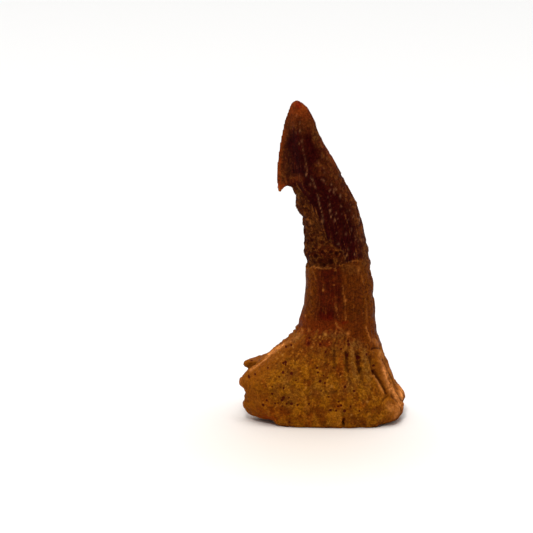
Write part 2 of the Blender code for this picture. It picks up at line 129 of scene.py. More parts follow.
# The ledge, where the enamel and the broken face end above the neck.
LEDGE = [
    (-2.40, 16.00), (-1.93, 16.06), (-1.38, 16.19), (-0.68, 16.28), (0.03, 16.42), (0.63, 16.51),
    (1.24, 16.66), (1.74, 16.86), (2.25, 17.03), (2.66, 17.17), (3.29, 17.12), (3.92, 16.88),
    (4.60, 16.60),
]
BACK_CHIP_WIDTH = 1.1
# Raised hairline that runs down the cap and the upper shaft, in two lengths: (points, how pale).
HAIRLINES = [
    ([(-2.61, 28.91), (-2.51, 28.52), (-2.40, 28.02), (-2.25, 27.32), (-2.09, 26.71), (-2.01, 26.31)], 0.17),
    ([(-1.73, 25.81), (-1.49, 25.41), (-1.26, 24.90), (-1.10, 24.49), (-0.98, 23.99), (-0.84, 23.38),
      (-0.69, 22.76), (-0.55, 22.25), (-0.44, 21.74)], 0.34),
]
# Pale cracks and seams: (points, half-width, how pale).
PALE_CRACKS = [
    ([(1.01, 12.89), (1.13, 12.37), (1.26, 11.85), (1.36, 11.01)], 0.06, 0.75),
    ([(1.81, 14.59), (1.85, 13.86), (2.01, 13.12), (2.07, 12.59), (2.03, 11.85), (2.18, 11.06)], 0.07, 0.8),
    ([(1.11, 10.69), (1.37, 10.29), (1.69, 10.03), (2.00, 9.83), (2.31, 9.58)], 0.10, 0.7),
    ([(4.23, 10.12), (4.45, 9.57), (4.61, 9.14), (4.75, 8.60)], 0.08, 0.9),
    ([(2.31, 17.08), (2.66, 17.16), (3.08, 17.14), (3.50, 16.93)], 0.06, 0.35),
    ([(2.16, 16.68), (2.67, 16.76), (3.19, 16.57)], 0.06, 0.3),
    ([(-1.90, 16.08), (-1.53, 16.19), (-1.08, 16.30), (-0.67, 16.34), (-0.27, 16.39), (0.18, 16.46)],
     0.06, 1.0),
    ([(-0.03, 19.10), (0.39, 18.85), (0.79, 18.63), (1.01, 18.17), (1.62, 18.20), (1.89, 17.58),
      (2.05, 16.99)], 0.07, 0.35),
    ([(-1.28, 16.01), (-1.12, 15.62), (-0.96, 15.12)], 0.08, 0.4),
    ([(-1.52, 15.62), (-1.50, 14.67), (-1.43, 13.42)], 0.09, 0.25),
    ([(3.58, 15.72), (3.74, 15.18), (3.97, 14.43)], 0.10, 0.2),
    ([(4.11, 12.93), (4.25, 11.67), (4.38, 10.60)], 0.10, 0.2),
    ([(0.67, 14.64), (1.08, 14.73)], 0.06, 0.5),
    ([(5.00, 5.55), (5.42, 4.85), (5.85, 4.10), (6.10, 3.60)], 0.09, 0.4),
]
# Where the neck meets the root.
COLLAR = [
    (-2.38, 9.48), (-1.67, 9.54), (-0.96, 9.61), (0.26, 9.88), (1.18, 9.87), (1.90, 9.68),
    (2.73, 9.17), (3.67, 8.62), (4.51, 8.14), (5.26, 7.79), (5.83, 7.55),
]
# Hollows of the chipped face, with painted shade inside: (x, z, radius, depth).
HOLLOWS = [
    (-1.32, 18.17, 0.13, 0.08), (-1.08, 17.45, 0.22, 0.18), (-1.14, 16.76, 0.15, 0.12),
    (0.48, 17.04, 0.22, 0.20), (1.12, 17.82, 0.17, 0.12), (-0.18, 16.62, 0.16, 0.14),
    (0.06, 16.80, 0.10, 0.08), (2.05, 17.18, 0.13, 0.08), (-0.41, 18.00, 0.14, 0.10),
    (0.51, 18.04, 0.15, 0.10), (-1.49, 19.01, 0.13, 0.08), (-2.42, 22.77, 0.12, 0.06),
]
# Patches of deeper red: (x, z, half-width, half-height, strength).
RED_PATCHES = [
    (0.15, 11.35, 0.85, 0.60, 0.9), (2.05, 10.75, 0.50, 0.20, 0.8), (0.40, 13.50, 0.90, 1.60, 0.45),
    (-3.03, 32.86, 0.30, 0.35, 0.8), (-1.75, 8.60, 0.35, 0.50, 0.6), (0.20, 8.60, 0.80, 0.40, 0.5),
    (0.20, 17.80, 1.70, 1.20, 0.60), (2.10, 0.90, 0.28, 0.35, 0.7), (-1.00, 26.00, 0.60, 0.90, 0.3),
    (-4.60, 1.60, 1.80, 1.00, 0.32), (-5.60, 0.80, 1.10, 0.50, 0.65), (1.60, 2.40, 0.50, 0.35, 0.4),
    (3.90, 2.60, 0.60, 0.40, 0.3), (1.70, 6.60, 0.40, 1.20, 0.45),
]
# Patches of the enamel that are brown, as at its edges: (x, z, half-width, half-height, strength).
BROWN_PATCHES = [
    (-0.60, 26.60, 0.90, 0.90, 0.70), (0.10, 25.40, 0.60, 0.80, 0.35), (-3.30, 25.60, 0.80, 0.40, 0.6),
]
# Pale flecks, partly real specks and partly painted glints: (x, z, radius, how pale).
FLECKS_AND_GLINTS = [
    (-3.23, 31.96, 0.10, 0.5), (-2.87, 31.18, 0.12, 0.4), (-2.86, 30.40, 0.14, 0.6),
    (-3.23, 30.17, 0.10, 0.4), (-2.66, 29.41, 0.14, 0.5), (-2.94, 29.14, 0.10, 0.5),
    (-2.16, 26.04, 0.13, 0.9), (-0.40, 25.39, 0.12, 1.0), (0.42, 25.05, 0.10, 0.7),
    (0.63, 24.24, 0.12, 0.7), (0.27, 24.43, 0.10, 0.7), (0.88, 24.52, 0.10, 0.8),
    (1.34, 23.79, 0.14, 0.9), (0.26, 23.01, 0.12, 0.9), (0.36, 22.35, 0.14, 1.0),
    (0.42, 21.74, 0.12, 0.8), (0.77, 21.35, 0.12, 0.9), (0.93, 22.08, 0.10, 0.8),
    (1.42, 22.81, 0.10, 0.6), (-1.46, 22.36, 0.14, 0.9), (-1.40, 21.87, 0.12, 0.6),
    (-1.93, 21.22, 0.13, 0.9), (-1.67, 20.94, 0.17, 1.0), (-0.43, 21.33, 0.20, 0.5),
    (-0.99, 21.39, 0.10, 0.6), (2.14, 17.78, 0.11, 0.9), (2.86, 17.83, 0.10, 0.7),
    (3.57, 19.13, 0.10, 0.9), (3.78, 19.07, 0.10, 0.8), (3.38, 21.18, 0.13, 0.9),
    (2.88, 22.50, 0.10, 0.6), (2.74, 21.66, 0.11, 0.6), (-0.18, 14.07, 0.16, 1.0),
    (0.82, 14.65, 0.11, 0.35), (2.03, 13.06, 0.24, 0.9), (-1.92, 11.01, 0.10, 0.8),
    (-2.25, 9.52, 0.20, 1.0), (0.06, 9.53, 0.26, 0.9), (2.43, 9.62, 0.25, 1.0),
    (3.36, 16.17, 0.28, 0.8), (-0.45, 9.20, 0.14, 0.8), (-1.68, 9.76, 0.14, 0.7),
    (1.08, 9.67, 0.12, 0.7), (5.38, 8.46, 0.30, 0.6), (5.60, 8.01, 0.26, 0.6),
    (4.26, 10.04, 0.13, 0.9), (3.98, 11.66, 0.10, 0.5), (-4.21, 7.09, 0.15, 1.0),
    (-4.73, 7.19, 0.10, 0.6), (-4.42, 7.15, 0.10, 0.6), (-4.77, 6.71, 0.10, 0.6),
    (-3.19, 7.94, 0.12, 0.8), (-1.26, 8.17, 0.12, 0.8), (-1.87, 4.34, 0.14, 0.9),
    (-1.35, 3.78, 0.10, 0.7), (-1.31, 4.40, 0.10, 0.6), (-0.90, 4.30, 0.10, 0.6),
    (1.79, 5.48, 0.10, 0.9), (0.72, 5.33, 0.10, 0.7), (0.79, 4.47, 0.17, 1.0),
    (2.36, 5.12, 0.10, 0.8), (4.86, 4.31, 0.12, 0.8), (3.10, 3.81, 0.12, 0.6),
    (4.46, 2.85, 0.17, 1.0), (2.84, 1.55, 0.15, 0.8), (5.76, 7.26, 0.17, 1.0),
    (2.08, 3.82, 0.10, 0.6), (1.67, 3.92, 0.12, 0.5), (-4.86, 2.21, 0.10, 0.6),
]
# Pores of the root's front: (x, z, radius).
PORES = [
    (-7.69, 4.80, 0.11), (-7.07, 5.14, 0.08), (-3.95, 6.63, 0.12), (-4.20, 6.51, 0.10),
    (-3.95, 6.42, 0.10), (-4.19, 5.69, 0.13), (-3.33, 5.67, 0.14), (-4.60, 5.25, 0.09),
    (-4.12, 4.24, 0.11), (-5.92, 4.30, 0.09), (-5.30, 4.31, 0.09), (-5.29, 3.56, 0.12),
    (-4.11, 3.27, 0.14), (-4.26, 2.97, 0.13), (-5.85, 2.81, 0.11), (-6.20, 2.29, 0.13),
    (-4.97, 2.59, 0.10), (-4.66, 2.66, 0.09), (-4.20, 2.37, 0.08), (-3.79, 2.60, 0.11),
    (-3.28, 2.61, 0.15), (-2.66, 2.51, 0.12), (-3.55, 3.29, 0.09), (-1.49, 2.63, 0.11),
    (-3.45, 0.64, 0.12), (-5.74, 5.86, 0.08), (-3.91, 7.77, 0.09), (-3.40, 8.05, 0.10),
    (-2.86, 5.02, 0.09), (-1.94, 5.09, 0.08), (-0.73, 6.30, 0.11), (-0.62, 5.86, 0.11),
    (-0.40, 4.97, 0.14), (0.11, 4.82, 0.11), (-0.05, 5.57, 0.09), (0.36, 5.33, 0.09),
    (0.73, 2.03, 0.13), (1.29, 1.99, 0.10), (1.79, 2.53, 0.13), (1.49, 2.42, 0.11),
    (1.53, 2.89, 0.10), (2.16, 1.96, 0.15), (2.77, 2.44, 0.10), (3.70, 1.96, 0.10),
    (2.17, 4.43, 0.14), (3.10, 4.01, 0.12), (0.13, 7.84, 0.10), (-0.28, 4.00, 0.09),
    (0.50, 3.39, 0.09), (-1.62, 8.49, 0.14), (-1.52, 8.98, 0.11), (-0.44, 8.51, 0.11),
    (1.71, 8.14, 0.11), (2.48, 8.56, 0.14), (2.42, 8.89, 0.12), (5.15, 6.20, 0.12),
    (5.08, 5.61, 0.14), (3.48, 7.23, 0.19), (2.34, 7.50, 0.14), (4.31, 7.47, 0.12),
]
# Grooves and ridges of the root's front: (points, depth, half-width). Negative is a ridge.
FLUTES = [
    ([(0.20, 8.00), (0.12, 7.20), (0.20, 6.60)], 0.05, 0.14),
    ([(1.00, 7.90), (1.01, 6.97), (1.06, 6.40)], 0.11, 0.17),
    ([(1.62, 7.60), (1.68, 6.50), (1.84, 5.60)], 0.02, 0.22),
    ([(2.23, 7.80), (2.29, 7.24), (2.35, 6.55), (2.41, 6.05)], 0.17, 0.15),
    ([(2.41, 6.05), (2.62, 5.10)], 0.08, 0.13),
    ([(2.84, 8.02), (2.91, 7.04), (3.07, 6.07), (3.29, 5.28)], -0.08, 0.22),
    ([(3.37, 7.69), (3.43, 7.18), (3.54, 6.48), (3.72, 5.85)], 0.17, 0.15),
    ([(3.72, 5.85), (4.05, 4.85)], 0.08, 0.13),
    ([(4.09, 7.92), (4.20, 6.96), (4.42, 5.99), (4.64, 5.01)], -0.08, 0.22),
    ([(4.75, 7.10), (4.95, 6.20), (5.10, 5.65)], 0.09, 0.16),
]
# Folds that fan down the root's back, as FLUTES.
BACK_FLUTES = [
    ([(-1.90, 8.20), (-3.00, 6.40), (-4.30, 3.60)], 0.12, 0.22),
    ([(-1.00, 8.40), (-1.60, 6.20), (-2.40, 3.80)], 0.10, 0.20),
    ([(-0.20, 8.00), (-0.40, 6.40), (-0.70, 5.00)], -0.08, 0.22),
    ([(0.70, 8.40), (0.80, 6.40), (0.90, 4.20)], 0.12, 0.20),
    ([(1.80, 8.30), (2.30, 6.60), (2.80, 4.60)], 0.12, 0.18),
    ([(2.70, 7.90), (3.40, 6.20), (4.00, 4.60)], -0.08, 0.20),
    ([(3.50, 7.70), (4.40, 5.70), (5.30, 3.40)], 0.14, 0.18),
    ([(4.60, 7.20), (5.70, 5.00), (6.70, 3.00)], 0.12, 0.18),
]
# Olive patches: (x, z, half-width, half-height, strength).
OLIVE_PATCHES = [
    (2.60, 16.30, 0.90, 0.60, 0.35), (4.10, 17.60, 0.35, 1.50, 0.5), (1.20, 9.60, 1.10, 0.40, 0.45),
    (3.25, 8.56, 0.80, 0.50, 0.6), (-2.90, 8.79, 0.40, 0.40, 0.6), (-3.98, 5.00, 0.60, 0.90, 0.35),
    (-2.94, 23.80, 0.25, 0.55, 0.7), (-1.25, 29.90, 0.38, 0.90, 0.45), (2.60, 4.60, 0.90, 0.90, 0.35),
    (4.40, 6.10, 0.50, 0.90, 0.4), (-3.90, 26.80, 0.35, 1.60, 0.15), (-0.60, 4.20, 0.80, 0.90, 0.25),
]
# Crests and crevices of the root's ends: (points in x, y and z, height, half-width).
END_LINES = [
    ([(-4.60, -0.45, 7.50), (-5.34, -0.31, 6.86), (-6.37, -0.42, 5.95), (-6.99, -0.76, 5.51),
      (-7.39, -1.24, 5.28), (-7.90, -1.60, 4.90)], 0.14, 0.17),
    ([(5.20, -2.70, 5.60), (5.45, -2.73, 5.14), (5.72, -2.79, 4.74), (6.04, -2.87, 4.22),
      (6.30, -2.98, 3.72), (6.45, -3.10, 3.40)], -0.28, 0.12),
    ([(5.70, -2.30, 6.40), (5.92, -2.35, 5.78), (6.24, -2.45, 5.06), (6.67, -2.45, 4.31)], 0.18, 0.20),
    ([(7.00, -2.31, 3.94), (7.22, -2.31, 3.51), (7.55, -2.25, 2.94), (7.88, -2.21, 2.39),
      (8.17, -2.06, 1.90)], 0.14, 0.10),
    ([(6.14, -1.60, 6.54), (6.74, -1.60, 5.17), (7.12, -0.95, 4.19), (7.45, -1.75, 3.43),
      (7.78, -1.80, 2.84), (8.12, -1.75, 2.32), (8.38, -1.05, 1.94), (8.60, -0.40, 1.55)], -0.24, 0.13),
    ([(6.05, -3.75, 2.75), (6.24, -3.61, 2.96), (6.67, -3.12, 3.12)], -0.12, 0.11),
    ([(6.31, -0.44, 6.15), (6.78, -0.14, 5.15), (7.19, -0.05, 4.21), (7.48, 0.10, 3.46),
      (7.79, -0.05, 2.86)], -0.20, 0.13),
    ([(5.16, -3.20, 5.33), (5.51, -2.95, 4.66), (5.83, -3.05, 3.99), (6.15, -3.15, 3.60)], 0.06, 0.12),
    ([(-4.20, -0.20, 7.95), (-4.20, 1.10, 7.80)], 0.12, 0.15),
    ([(-3.58, -0.20, 8.60), (-3.58, 1.10, 8.50)], 0.20, 0.15),
    ([(-3.14, -0.20, 8.98), (-3.14, 1.00, 8.88)], 0.20, 0.14),
    ([(-2.75, -0.20, 9.30), (-2.75, 0.90, 9.25)], 0.14, 0.14),
    ([(4.95, -2.85, 5.95), (5.12, -2.85, 5.60)], -0.16, 0.12),
    ([(7.11, -2.80, 3.02), (7.55, -2.62, 2.52), (7.87, -2.73, 1.91), (8.10, -2.48, 1.50),
      (8.35, -2.20, 1.20)], -0.22, 0.11),
    ([(4.90, -2.20, 7.86), (5.10, -2.00, 7.88), (5.48, -1.60, 7.78), (5.89, -0.97, 7.49)], -0.20, 0.08),
    ([(-8.00, -3.10, 3.80), (-8.10, -2.60, 3.00), (-8.00, -2.00, 2.80)], -0.02, 0.16),
]
# The cleft in the front rim.
CLEFT = [(2.10, -4.65, -0.10), (2.14, -4.65, 0.35), (2.04, -4.65, 0.70), (2.12, -4.65, 1.05)]
CLEFT_DEPTH = 0.45
# Rounded lobes at the root's ends, and a few on the edges above: (x, y, z, height, radius).
END_LOBES = [
    (8.20, 0.40, 2.45, 0.24, 0.60), (8.30, -1.75, 1.75, 0.16, 0.28), (7.40, -3.20, 1.60, 0.20, 0.75),
    (-8.10, -2.40, 1.80, 0.12, 0.55), (-8.60, -2.00, 3.80, 0.10, 0.45),
    (-7.90, 1.40, 5.20, 0.22, 0.40), (8.40, -2.60, 1.00, -0.26, 0.34), (-7.95, -2.90, 3.35, 0.22, 0.28),
    (2.96, -0.30, 22.86, 0.11, 0.22), (-2.60, 0.20, 10.10, 0.12, 0.55), (-4.85, 0.00, 24.10, 0.12, 0.30),
]
# Crests that catch the light, with a painted highlight: (points in x, y and z, half-width, how bright).
HIGHLIT_CRESTS = [
    ([(-4.22, -0.90, 7.69), (-4.83, -0.80, 7.23), (-5.30, -0.70, 6.90), (-5.75, -0.70, 6.52),
      (-6.10, -0.85, 6.20)], 0.28, 1.0),
    ([(-6.10, -0.85, 6.20), (-6.70, -1.20, 5.70), (-7.42, -1.60, 5.23)], 0.20, 0.6),
    ([(-2.60, -1.50, 9.30), (-3.30, -1.20, 8.60), (-4.30, -0.70, 7.70), (-5.34, -0.31, 6.86)], 0.26, 0.45),
    ([(5.70, -1.58, 7.37), (5.81, -1.82, 6.91), (6.02, -2.01, 6.33), (6.24, -2.14, 5.72)], 0.28, 0.38),
    ([(6.24, -2.14, 5.72), (6.35, -2.28, 5.22), (6.57, -2.39, 4.61), (6.84, -2.46, 3.99),
      (7.00, -2.45, 3.66)], 0.30, 1.0),
    ([(7.06, -2.36, 3.74), (7.44, -2.30, 3.07), (7.77, -2.33, 2.43), (8.10, -2.31, 1.77)], 0.25, 1.0),
    ([(5.16, -3.20, 5.33), (5.51, -2.95, 4.66), (5.83, -3.05, 3.99), (6.15, -3.15, 3.60)], 0.13, 0.55),
    ([(5.83, -1.10, 7.55), (6.40, -0.50, 6.20), (7.00, 0.25, 4.80), (7.70, 0.74, 3.30)], 0.22, 0.40),
    ([(8.10, 0.70, 2.60), (8.30, -0.60, 2.20)], 0.45, 1.0),
    ([(8.25, -1.60, 1.70), (8.20, -1.90, 1.60)], 0.24, 0.80),
    ([(7.55, -3.00, 2.00), (7.60, -3.30, 1.20), (6.90, -3.60, 2.10)], 0.40, 0.45),
    ([(5.10, -1.50, 8.60), (5.60, -1.20, 8.10)], 0.25, 0.20),
    ([(-8.75, -2.20, 4.20), (-8.30, -2.50, 3.30)], 0.30, 0.40),
]
# The thin lower edge of the barb, which gets a painted glow.
BARB_RIM = [(-4.67, 24.04), (-4.27, 24.73), (-3.77, 25.11), (-3.27, 25.39), (-2.68, 25.60)]

# ---- The material ----
SHEEN = 0.015  # the surface's specular level: the dentine is almost matt
RED_TINT = (0.95, 0.40, 0.50, 1.0)
BUMP_STRENGTH = 0.8
BUMP_DEPTH = 0.12
EVEN = (1, 1, 1)  # not stretched
# Noises of the shader: (size of a grain in millimetres, detail, roughness, stretch).
SHADER_GRAINS = {
    "patch": (2.4, 3.0, 0.55, EVEN),
    "mottle": (0.85, 5.0, 0.55, EVEN),
    "blotch": (0.42, 3.0, 0.6, EVEN),
    "speckle": (0.24, 3.0, 0.6, EVEN),
    "grit": (0.13, 3.0, 0.6, EVEN),
    "dash": (0.20, 3.0, 0.6, (1.0, 1.0, 0.35)),
    "dust": (0.06, 2.0, 0.6, EVEN),
}
# Grounds, and the layers over each: (noise or mask, where it starts, where it is full, its most, colour).
ENAMEL = (36, 2, 2)
ENAMEL_LAYERS = [("hairs", 0.44, 0.66, 0.7, (50, 6, 4))]
CHIP = (58, 19, 3)
CHIP_LAYERS = [
    ("mottle", 0.38, 0.60, 1.0, (74, 34, 7)),
    ("blotch", 0.50, 0.62, 0.7, (42, 10, 4)),
    ("speckle", 0.58, 0.68, 0.5, (116, 68, 30)),
]
NECK_MIDDLE = (62, 13, 2)
NECK_EDGES = (100, 48, 3)
NECK_LAYERS = [
    ("mottle", 0.42, 0.62, 0.45, (86, 33, 5)),
    ("hairs", 0.50, 0.70, 0.3, (104, 50, 12)),
    ("blotch", 0.50, 0.38, 0.5, (56, 14, 3)),
]
ROOT = (114, 56, 5)
ROOT_GROUND = [
    ("mottle", 0.38, 0.60, 1.0, (134, 78, 7)),
    ("patch", 0.44, 0.30, 0.6, (124, 54, 5)),
]
ROOT_GRAINS_AND_GLINTS = [
    ("blotch", 0.53, 0.66, 0.40, (92, 40, 3)),
    # bright specks, partly real grain and partly painted glints
    ("speckle", 0.61, 0.70, 0.55, (168, 110, 38)),
    ("speckle", 0.38, 0.30, 0.5, (80, 30, 3)),
]
ROOT_TINTS = [
    ("patch", 0.54, 0.70, 0.25, (104, 70, 22)),
    ("hairs", 0.52, 0.74, 0.35, (150, 92, 22)),
]
# Single colours of the zones.
ENAMEL_EDGE = (80, 34, 9)
ENAMEL_SPOT = (106, 58, 20)
ENAMEL_DASH = (112, 54, 34)
# painted glow of light through the thin enamel
PAINTED_GLOW = (126, 50, 12)
NECK_FOOT = (106, 40, 5)
ROOT_RUST = (96, 40, 7)
ROOT_ENDS = (130, 67, 8)
# Colours of what lies over the zones.
OLIVE = (98, 60, 22)
ROOT_OLIVE = (122, 82, 32)
# painted shade in the root's grooves and crevices and along the foot of the rim
PAINTED_SHADE = (56, 18, 4)
# painted highlight on the crests that catch the light
CREST_HIGHLIGHT = (236, 148, 76)
# painted shade and painted highlight of the fine relief
RELIEF_SHADE = (52, 14, 2)
RELIEF_HIGHLIGHT = (150, 88, 30)
PALE_MARK = (172, 98, 38)
PALE_ENAMEL_MARK = (160, 106, 70)
PALE_ROOT_MARK = (186, 122, 48)
# painted shade inside the chipped face's hollows and the cleft
HOLLOW_SHADE = (38, 5, 1)
INSIDE_PORE = (66, 13, 5)


def ramp(x, low, high):
    """0 below low, 1 above high, and smooth in between. It falls instead if high is the lower."""
    t = np.clip((x - low) / (high - low), 0.0, 1.0)
    return t * t * (3 - 2 * t)


def bump(distance, half_width):
    """1 at no distance, half at the half-width, falling smoothly to nothing."""
    return np.exp(-((distance / half_width) ** 2) * np.log(2.0))


def grain(points, size, octaves, shift):
    """Fractal noise from about -1 to 1 at each point, with grains of this size."""
    scaled = points / np.asarray(size) + shift
    return np.array([noise.fractal(p, 1.0, 2.0, octaves) for p in scaled.tolist()])


def line_distance(points, line):
    """How far each point lies from a line through the given places."""
    nearest = np.full(len(points), np.inf)
    places = np.array(line, float)
    for start, end in zip(places, places[1:]):
        run = end - start
        t = np.clip((points - start) @ run / (run @ run), 0.0, 1.0)
        away = np.linalg.norm(points - start - t[:, None] * run, axis=1)
        nearest = np.minimum(nearest, away)
    return nearest


def line_height(line, x):
    """The height of a line across the face, at each x."""
    rows = sorted(line)
    return np.interp(x, [row[0] for row in rows], [row[1] for row in rows])


def line_place(line, z):
    """The x of a line down the face, at each height."""
    rows = sorted((row[1], row[0]) for row in line)
    return np.interp(z, [row[0] for row in rows], [row[1] for row in rows])


def evened(row, reach=4):
    """A row of numbers, each replaced by the mean of itself and its neighbours within reach."""
    count = 2 * reach + 1
    return np.convolve(np.pad(row, reach, mode="edge"), np.ones(count) / count, mode="valid")


def dense_copy(node):
    """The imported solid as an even, dense mesh in millimetres."""
    work = bmesh.new()
    work.from_mesh(node.data)
    bmesh.ops.scale(work, vec=(1 / MM, 1 / MM, 1 / MM), verts=work.verts)
    bmesh.ops.remove_doubles(work, verts=work.verts, dist=0.001)
    solid = bpy.data.meshes.new("tooth_solid")
    work.to_mesh(solid)
    work.free()
    holder = bpy.data.objects.new("tooth_solid", solid)
    bpy.context.scene.collection.objects.link(holder)
    remesh = holder.modifiers.new("even_points", "REMESH")
    remesh.mode = "VOXEL"
    remesh.voxel_size = VOXEL
    depsgraph = bpy.context.evaluated_depsgraph_get()
    mesh = bpy.data.meshes.new_from_object(holder.evaluated_get(depsgraph))
    bpy.data.objects.remove(holder)
    return mesh


def read_points(mesh):
    points = np.zeros(len(mesh.vertices) * 3)
    mesh.vertices.foreach_get("co", points)
    return points.reshape(-1, 3)


def write_points(mesh, points):
    mesh.vertices.foreach_set("co", points.ravel())
    mesh.update()


def read_normals(mesh):
    normals = np.zeros(len(mesh.vertices) * 3)
    mesh.vertex_normals.foreach_get("vector", normals)
    return normals.reshape(-1, 3)


def read_edges(mesh):
    edges = np.zeros(len(mesh.edges) * 2, int)
    mesh.edges.foreach_get("vertices", edges)
    return edges.reshape(-1, 2)


def relax(values, edges, rounds, inward, outward, amount=1.0):
    """Evens values out over the surface. With an outward step after each inward one, form isn't lost."""
    a, b = edges.T
    count = len(values)
    amount = np.broadcast_to(amount, count)
    neighbours = np.bincount(edges.ravel(), minlength=count)
    for step in [inward, outward] * rounds:
        mean = np.empty_like(values)
        for axis in range(values.shape[1]):
            column = values[:, axis]
            total = np.bincount(a, column[b], count) + np.bincount(b, column[a], count)
            mean[:, axis] = total / neighbours
        values = values + (step * amount)[:, None] * (mean - values)
    return values


def soften(points, edges, from_barb):
    """Rounds the solid's facets and wears the ledge, but keeps the barb and the root's ends keen."""
    firm = ramp(from_barb, 0.4, 1.8) * (1 - 0.6 * ramp(np.abs(points[:, 0]), 6.0, 7.5))
    points = relax(points, edges, 13, 0.5, -0.525, firm)
    x, y, z = points.T
    worn_ledge = bump(z - line_height(LEDGE, x), 0.5) * ramp(x, 0.0, 0.6) * ramp(y, 0.0, -0.6)
    return relax(points, edges, 14, 0.5, 0.0, worn_ledge)


def thickness(mesh, points, normals):
    """How much tooth lies behind each point, straight in from its surface."""
    faces = [tuple(face.vertices) for face in mesh.polygons]
    tree = BVHTree.FromPolygons(points.tolist(), faces)
    depth = np.full(len(points), DEEPEST_LOOK)
    for i, (point, normal) in enumerate(zip(points, normals)):
        inward = Vector(-normal)
        found = tree.ray_cast(Vector(point) + inward * 0.02, inward, DEEPEST_LOOK)
        if found[3] is not None:
            depth[i] = found[3]
    return depth


class Surface:
    """The tooth's surface while it is worked: its points and zones, its relief and its masks."""

    def __init__(self, mesh):
        self.edges = read_edges(mesh)
        unworn = read_points(mesh)
        self.from_barb = np.linalg.norm(unworn - BARB_TIP, axis=1)
        self.points = soften(unworn, self.edges, self.from_barb)
        write_points(mesh, self.points)
        self.normals = read_normals(mesh)
        self.x, self.y, self.z = self.points.T
        depth = thickness(mesh, self.points, self.normals)
        self.thin = relax(depth[:, None], self.edges, 12, 0.5, 0.5)[:, 0]
        self.relief = np.zeros_like(self.x)
        self.pits = np.zeros_like(self.x)
        self.masks = {}
        self.random = np.random.default_rng(SEED)
        self.find_sides()
        self.make_grain()
        self.split_zones()

    def find_sides(self):
        """Where each point lies between the tooth's two edges, and which way it faces."""
        levels = np.arange(SLAB_STEP / 2, HEIGHT, SLAB_STEP)
        slabs = [self.x[np.abs(self.z - level) < SLAB_HALF] for level in levels]
        low = np.array([slab.min() for slab in slabs])
        high = np.array([slab.max() for slab in slabs])
        self.barbed_edge = np.interp(self.z, levels, low)
        self.from_barbed = self.x - self.barbed_edge
        self.from_leading = np.interp(self.z, levels, high) - self.x
        soft_low = np.interp(self.z, levels, evened(low))
        soft_high = np.interp(self.z, levels, evened(high))
        self.across = np.clip((self.x - soft_low) / (soft_high - soft_low), 0, 1)
        facing = -self.normals[:, 1]
        front_half = ramp(self.y, 0.8, 0.0)
        self.front = ramp(facing, -0.25, 0.25) * front_half
        self.back = (1 - self.front) * ramp(-facing, 0.0, 0.4)
        self.unhidden = ramp(facing, -0.60, -0.20)
        self.outside = self.unhidden * front_half

    def make_grain(self):
        """The noises that roughen the surface and break up what is drawn on it."""
        drawn_out = np.stack([self.across, self.y, self.z], axis=1) * LONG_SCALE
        self.grain = {name: grain(self.points, *row) for name, row in GRAINS.items()}
        self.grain.update({name: grain(drawn_out, *row) for name, row in LONG_GRAINS.items()})
        self.uneven = ramp(self.grain["rough"] + 0.6 * self.grain["fine"], -0.45, 0.35)
        self.wandered_x = self.x + WANDER * self.grain["sideways"]
        self.wandered_z = self.z + WANDER * self.grain["upwards"]
        self.face = np.stack([self.wandered_x, self.wandered_z], axis=1)

    def split_zones(self):
        """Cap and shaft of enamel, the face where the enamel is broken away, the neck and the root."""
        x, z = self.x, self.z
        fine, rough, broad = self.grain["fine"], self.grain["rough"], self.grain["broad"]
        collar = line_height(COLLAR, x)
        root = ramp(z + 0.35 * self.grain["collar"], collar + 0.1, collar - 0.5)
        root = np.maximum(root, ramp(z, *ALL_ROOT))
        ragged = self.front * ramp(x, 0.0, 0.8)
        self.ledge = line_height(LEDGE, x) + 0.05 * rough + ragged * (0.04 + 0.30 * rough + 0.22 * fine)
        above = ramp(z, self.ledge - 0.06 - 0.16 * ragged, self.ledge + 0.06 + 0.16 * ragged)
        front_edge = line_place(CHIP_EDGE, z) + 0.16 * rough + 0.05 * fine
        back_edge = self.barbed_edge + BACK_CHIP_WIDTH + 0.5 * broad + 0.2 * rough
        broken_to = np.where(self.front > 0.5, front_edge, back_edge)
        chip = above * ramp(z, *NOTCH) * ramp(x, broken_to + 0.07, broken_to - 0.07)
        chip = chip * ramp(self.from_barb, 1.2, 1.5)
        enamel = above * (1 - chip)
        cap = enamel * ramp(z, 24.0, 27.0)
        neck = (1 - root) * (1 - enamel) * (1 - chip)
        self.zones = {
            "chip": chip, "enamel": enamel, "cap": cap, "shaft": enamel - cap, "neck": neck, "root": root,
        }

    def mark(self, name, strength):
        """Raises the mask of this name to the new mark wherever the mark is the stronger."""
        self.masks[name] = np.maximum(self.masks.get(name, 0.0), strength)


def roughen(tooth):
    """The grain of each zone, lower where the tooth is thin and on the slender finger at the back."""
    tooth.relief = -CHIP_DEPTH * tooth.zones["chip"]
    for zone, heights in GRAIN_HEIGHTS.items():
        stack = sum(height * tooth.grain[name] for name, height in heights.items())
        tooth.relief = tooth.relief + tooth.zones[zone] * stack
    fan = tooth.zones["root"] * ramp(tooth.z, 3.8, 5.8)
    fan = fan * np.maximum(1 - tooth.front, ramp(tooth.across, 0.40, 0.52))
    tooth.relief += fan * FAN_HEIGHT * tooth.grain["fan"]
    finger = ramp(tooth.x, -6.6, -7.2) * ramp(tooth.y, 0.3, 0.8)
    tooth.relief *= (0.15 + 0.85 * ramp(tooth.thin, 0.5, 2.2)) * (1 - 0.75 * finger)


def nick_edges(tooth):
    """Nicks in the keen edges above the root."""
    keen = ramp(tooth.from_leading, 0.5, 0.1) + tooth.zones["chip"] * ramp(tooth.from_barbed, 0.5, 0.1)
    keen = (1 - tooth.zones["root"]) * keen
    nicks = ramp(tooth.grain["nicks"], 0.05, 0.45)
    tooth.relief -= NICK_DEPTH * keen * nicks * ramp(tooth.z, 32.0, 29.5)


